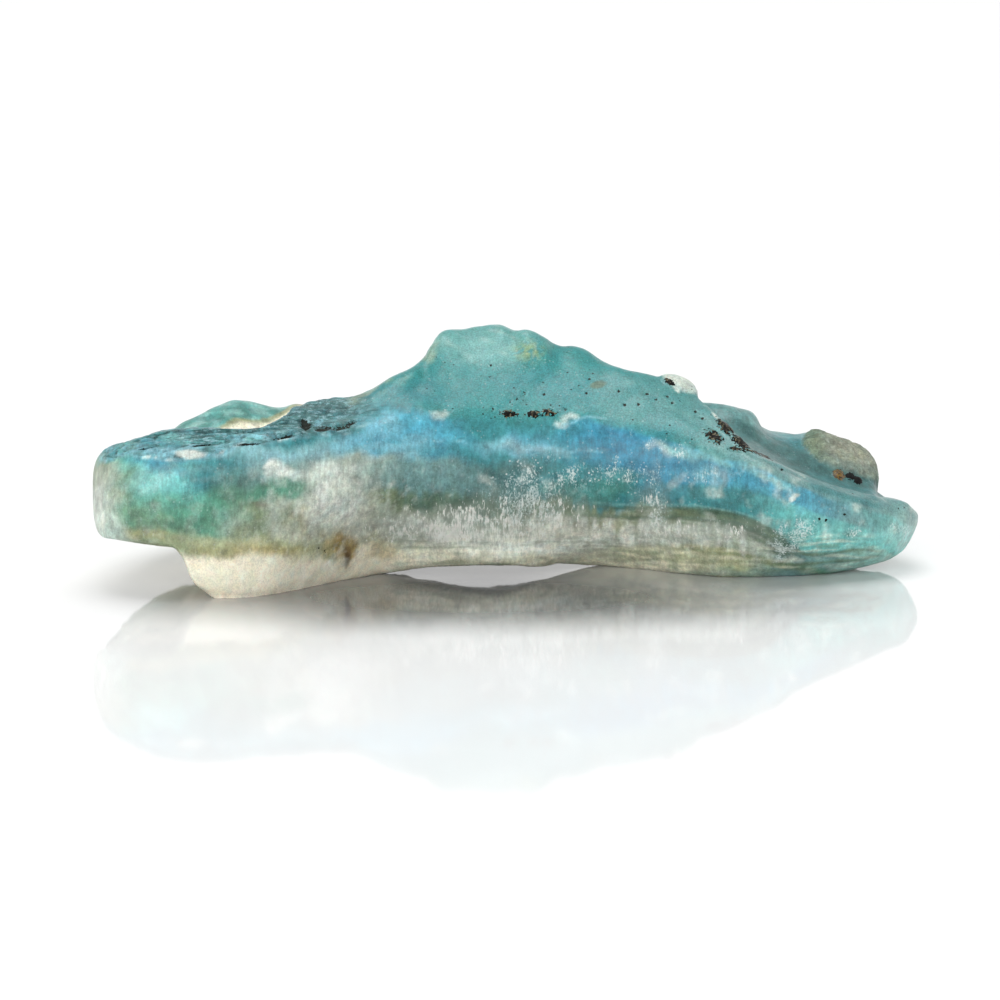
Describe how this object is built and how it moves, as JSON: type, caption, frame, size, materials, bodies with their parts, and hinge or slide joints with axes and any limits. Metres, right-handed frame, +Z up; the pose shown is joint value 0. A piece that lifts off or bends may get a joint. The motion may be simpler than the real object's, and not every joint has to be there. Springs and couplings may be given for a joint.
{
  "type": "raw hemimorphite stone",
  "caption": "Free-standing raw hemimorphite: a lightly tumbled piece of banded sea-blue botryoidal crust, with a broken banded face, a peaked top and a thin lip.",
  "frame": {"origin": "centre of the stone's footprint box, at the height of the surface that it rests on", "axes": "+X along the stone from its blunt end to its thin lip, +Y from its broken banded face to its back, +Z up"},
  "size_m": [0.036, 0.0183, 0.0104],
  "materials": {
    "hemimorphite": "satin, lightly tumbled, translucent"
  },
  "bodies": {
    "root": {"stone": "hemimorphite"}
  },
  "joints": []
}
